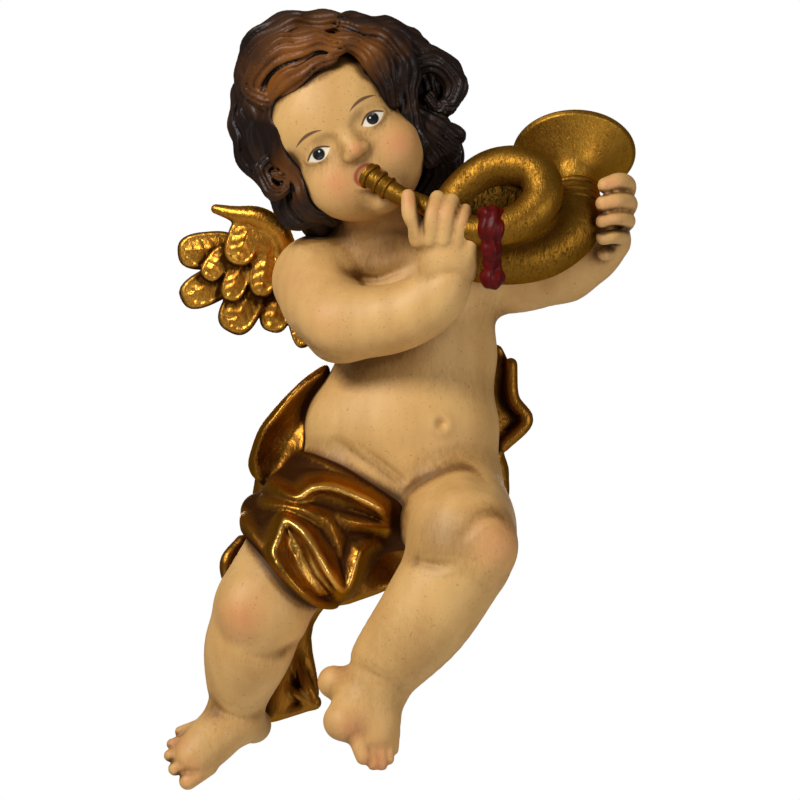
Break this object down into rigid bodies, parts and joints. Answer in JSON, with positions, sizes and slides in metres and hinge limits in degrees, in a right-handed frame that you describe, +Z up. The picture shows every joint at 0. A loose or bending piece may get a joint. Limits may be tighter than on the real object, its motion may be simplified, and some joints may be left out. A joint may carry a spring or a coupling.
{
  "type": "wooden angel statue",
  "caption": "Carved, painted and gilded wooden putto with wings, hung on a wall by its back, blowing a coiled horn.",
  "frame": {"origin": "centre of the flat seat in the figure's back, on the wall", "axes": "+Y into the wall, +Z up, the viewer looks along +Y"},
  "size_m": [0.1519, 0.0773, 0.2502],
  "materials": {
    "painted_wood": "matt flesh paint with brown antique wash, gilded cloth and brown hair",
    "gilded_wood": "satin gilding",
    "gilded_horn": "satin gilding with a red ribbon"
  },
  "bodies": {
    "root": {"figure": "painted_wood", "wing_right": "gilded_wood", "wing_left": "gilded_wood", "horn": "gilded_horn"}
  },
  "joints": []
}
